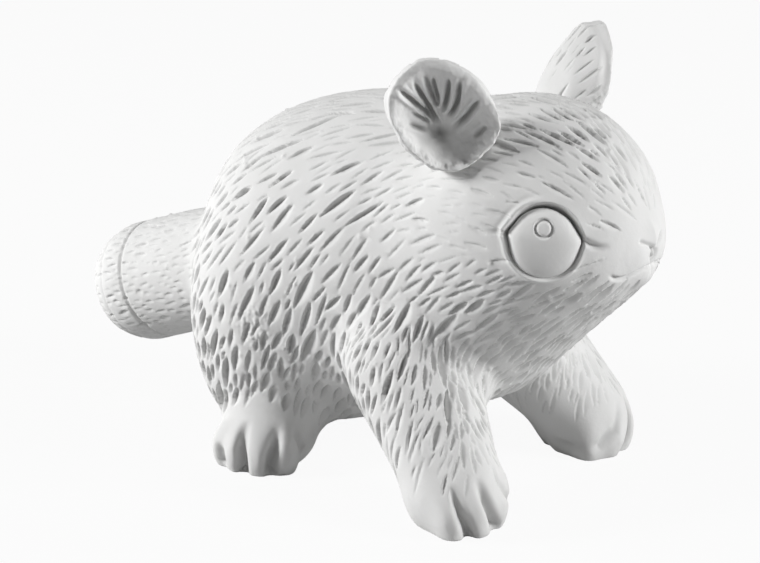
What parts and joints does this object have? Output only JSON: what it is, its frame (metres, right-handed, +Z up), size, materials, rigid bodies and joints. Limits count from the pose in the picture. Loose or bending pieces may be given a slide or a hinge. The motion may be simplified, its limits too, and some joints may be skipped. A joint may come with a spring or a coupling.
{
  "type": "sugar glider figurine",
  "caption": "Unglazed white bisque figurine of a crouching sugar glider with cupped ears, round eyes, ringed stub tail and stubby splayed legs; stands on its paws as an ornament to paint.",
  "frame": {"origin": "on the ground, under the middle of the figure's bounding box", "axes": "+Z up, the figure faces -Y, its left side is +X"},
  "size_m": [0.0674, 0.139, 0.0889],
  "materials": {
    "torso": "matte unglazed",
    "head": "matte unglazed",
    "ear_left": "matte unglazed",
    "ear_right": "matte unglazed",
    "eye_left": "matte unglazed",
    "eye_right": "matte unglazed",
    "foreleg_left": "matte unglazed",
    "foreleg_right": "matte unglazed",
    "hind_foot_left": "matte unglazed",
    "hind_foot_right": "matte unglazed",
    "tail": "matte unglazed"
  },
  "bodies": {
    "root": {"torso": "torso", "head": "head", "ear_left": "ear_left", "ear_right": "ear_right", "eye_left": "eye_left", "eye_right": "eye_right", "foreleg_left": "foreleg_left", "foreleg_right": "foreleg_right", "hind_foot_left": "hind_foot_left", "hind_foot_right": "hind_foot_right", "tail": "tail"}
  },
  "joints": []
}
